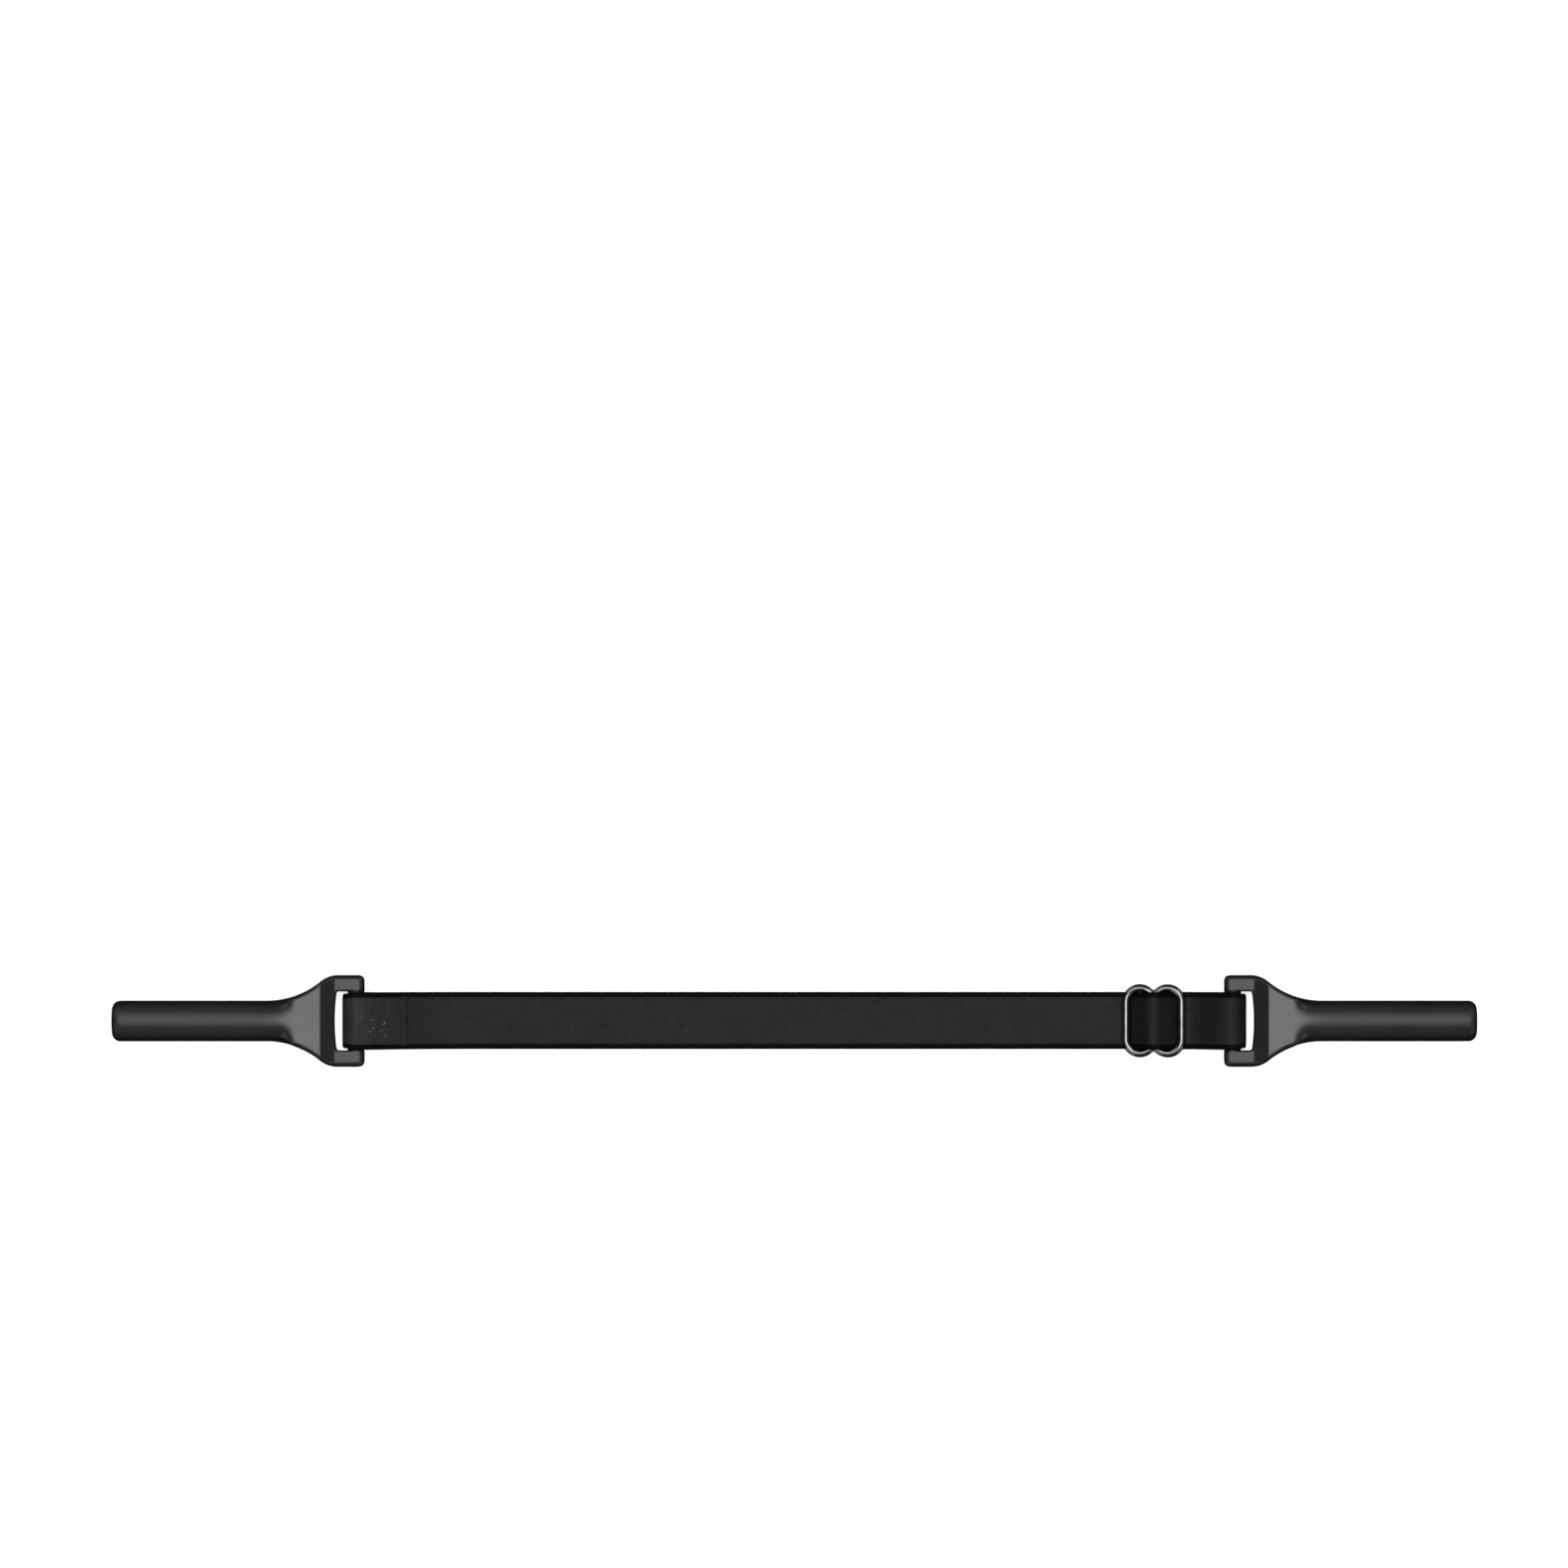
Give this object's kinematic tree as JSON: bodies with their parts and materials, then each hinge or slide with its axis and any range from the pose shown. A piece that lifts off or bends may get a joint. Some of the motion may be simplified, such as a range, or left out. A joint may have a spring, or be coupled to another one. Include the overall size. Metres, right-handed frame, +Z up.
{
  "type": "eyeglasses strap",
  "caption": "Adjustable eyeglasses retainer strap: silicone temple sleeves joined by a narrow elastic band with a figure-8 metal slider that sets its length",
  "frame": {"origin": "middle of the strap, on the surface that it lies on", "axes": "+X along the strap towards the sleeve beside the slider, +Y across the band, +Z up from the surface"},
  "size_m": [0.2378, 0.016, 0.0071],
  "materials": {
    "silicone": "matte charcoal silicone",
    "dark_nickel": "black nickel plating, glossy",
    "elastic": "black woven elastic, satin",
    "thread": "black sewing thread"
  },
  "bodies": {
    "band": {"band_left_loop": "elastic", "band_long_run": "elastic", "left_bar_tack": "thread"},
    "left_sleeve": {"left_temple_sleeve": "silicone"},
    "slider": {"slider": "dark_nickel", "band_through_slider": "elastic", "band_slider_loop": "elastic", "slider_bar_tack": "thread"},
    "right_loop": {"band_right_fold": "elastic", "band_upper_layer": "elastic", "band_lower_layer": "elastic"},
    "right_sleeve": {"right_temple_sleeve": "silicone"}
  },
  "joints": [
    {"name": "left_sleeve_swing", "type": "hinge", "parent": "band", "child": "left_sleeve", "pos_m": [-0.0764, 0, 0.00355], "axis": [0, 1, 0], "range_deg": [0, 105]},
    {"name": "slider_slide", "type": "slide", "parent": "band", "child": "slider", "axis": [1, 0, 0], "range_m": [-0.1, 0], "deforming": ["band_long_run"]},
    {"name": "right_loop_slide", "type": "slide", "parent": "slider", "child": "right_loop", "axis": [1, 0, 0], "range_m": [0, 0.05], "deforming": ["band_upper_layer", "band_lower_layer"]},
    {"name": "right_sleeve_swing", "type": "hinge", "parent": "right_loop", "child": "right_sleeve", "pos_m": [0.0764, 0, 0.00355], "axis": [0, -1, 0], "range_deg": [0, 105]}
  ],
  "couplings": [
    {"joint": "right_loop_slide", "follows": "slider_slide", "ratio": -0.5}
  ]
}
